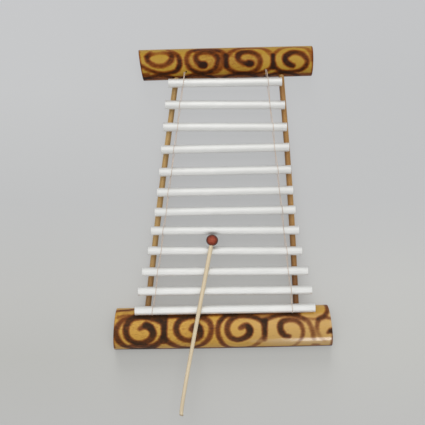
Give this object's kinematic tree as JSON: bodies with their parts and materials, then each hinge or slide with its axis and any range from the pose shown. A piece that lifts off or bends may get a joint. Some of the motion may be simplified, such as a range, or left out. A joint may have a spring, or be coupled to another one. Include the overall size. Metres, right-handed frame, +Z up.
{
  "type": "bamboo xylophone",
  "caption": "Tabletop xylophone: metal tubes strung on twined cords between two split-bamboo bridges, held apart by round rails, with a wooden bead mallet lying on the tubes.",
  "frame": {"origin": "middle of the whole part's box, mallet included, on the surface that it stands on", "axes": "+Y from the long-tube bridge to the short-tube bridge, +Z up, +X to the right"},
  "size_m": [0.3002, 0.4986, 0.0405],
  "materials": {
    "bamboo": "varnished bamboo with burnt-in brown spirals",
    "rail_wood": "plain orange-brown wood",
    "aluminium": "satin",
    "thread": "thin twisted thread",
    "bead_wood": "red-brown lacquer",
    "stick_wood": "bare pale wood"
  },
  "bodies": {
    "frame": {"near_bridge": "bamboo", "far_bridge": "bamboo", "left_rail": "rail_wood", "right_rail": "rail_wood", "left_string_a": "thread", "left_string_b": "thread", "right_string_a": "thread", "right_string_b": "thread", "near_left_knot": "thread", "near_right_knot": "thread", "far_left_knot": "thread", "far_right_knot": "thread"},
    "tube_01": {"tube_01": "aluminium"},
    "tube_02": {"tube_02": "aluminium"},
    "tube_03": {"tube_03": "aluminium"},
    "tube_04": {"tube_04": "aluminium"},
    "tube_05": {"tube_05": "aluminium"},
    "tube_06": {"tube_06": "aluminium"},
    "tube_07": {"tube_07": "aluminium"},
    "tube_08": {"tube_08": "aluminium"},
    "tube_09": {"tube_09": "aluminium"},
    "tube_10": {"tube_10": "aluminium"},
    "tube_11": {"tube_11": "aluminium"},
    "tube_12": {"tube_12": "aluminium"},
    "mallet": {"mallet_stick": "stick_wood", "mallet_head": "bead_wood"}
  },
  "joints": [
    {"name": "tube_01_give", "type": "slide", "parent": "frame", "child": "tube_01", "axis": [0, 0, 1], "range_m": [-0.002, 0], "stiffness_N_per_m": 250, "springref_m": 0.002, "deforming": ["left_string_a", "left_string_b", "right_string_a", "right_string_b"]},
    {"name": "tube_02_give", "type": "slide", "parent": "frame", "child": "tube_02", "axis": [0, 0, 1], "range_m": [-0.002, 0], "stiffness_N_per_m": 250, "springref_m": 0.002, "deforming": ["left_string_a", "left_string_b", "right_string_a", "right_string_b"]},
    {"name": "tube_03_give", "type": "slide", "parent": "frame", "child": "tube_03", "axis": [0, 0, 1], "range_m": [-0.002, 0], "stiffness_N_per_m": 250, "springref_m": 0.002, "deforming": ["left_string_a", "left_string_b", "right_string_a", "right_string_b"]},
    {"name": "tube_04_give", "type": "slide", "parent": "frame", "child": "tube_04", "axis": [0, 0, 1], "range_m": [-0.002, 0], "stiffness_N_per_m": 250, "springref_m": 0.002, "deforming": ["left_string_a", "left_string_b", "right_string_a", "right_string_b"]},
    {"name": "tube_05_give", "type": "slide", "parent": "frame", "child": "tube_05", "axis": [0, 0, 1], "range_m": [-0.002, 0], "stiffness_N_per_m": 250, "springref_m": 0.002, "deforming": ["left_string_a", "left_string_b", "right_string_a", "right_string_b"]},
    {"name": "tube_06_give", "type": "slide", "parent": "frame", "child": "tube_06", "axis": [0, 0, 1], "range_m": [-0.002, 0], "stiffness_N_per_m": 250, "springref_m": 0.002, "deforming": ["left_string_a", "left_string_b", "right_string_a", "right_string_b"]},
    {"name": "tube_07_give", "type": "slide", "parent": "frame", "child": "tube_07", "axis": [0, 0, 1], "range_m": [-0.002, 0], "stiffness_N_per_m": 250, "springref_m": 0.002, "deforming": ["left_string_a", "left_string_b", "right_string_a", "right_string_b"]},
    {"name": "tube_08_give", "type": "slide", "parent": "frame", "child": "tube_08", "axis": [0, 0, 1], "range_m": [-0.002, 0], "stiffness_N_per_m": 250, "springref_m": 0.002, "deforming": ["left_string_a", "left_string_b", "right_string_a", "right_string_b"]},
    {"name": "tube_09_give", "type": "slide", "parent": "frame", "child": "tube_09", "axis": [0, 0, 1], "range_m": [-0.002, 0], "stiffness_N_per_m": 250, "springref_m": 0.002, "deforming": ["left_string_a", "left_string_b", "right_string_a", "right_string_b"]},
    {"name": "tube_10_give", "type": "slide", "parent": "frame", "child": "tube_10", "axis": [0, 0, 1], "range_m": [-0.002, 0], "stiffness_N_per_m": 250, "springref_m": 0.002, "deforming": ["left_string_a", "left_string_b", "right_string_a", "right_string_b"]},
    {"name": "tube_11_give", "type": "slide", "parent": "frame", "child": "tube_11", "axis": [0, 0, 1], "range_m": [-0.002, 0], "stiffness_N_per_m": 250, "springref_m": 0.002, "deforming": ["left_string_a", "left_string_b", "right_string_a", "right_string_b"]},
    {"name": "tube_12_give", "type": "slide", "parent": "frame", "child": "tube_12", "axis": [0, 0, 1], "range_m": [-0.002, 0], "stiffness_N_per_m": 250, "springref_m": 0.002, "deforming": ["left_string_a", "left_string_b", "right_string_a", "right_string_b"]},
    {"name": "mallet_lift", "type": "slide", "parent": "frame", "child": "mallet", "axis": [0, 0, 1], "range_m": [0, 0.12]}
  ]
}
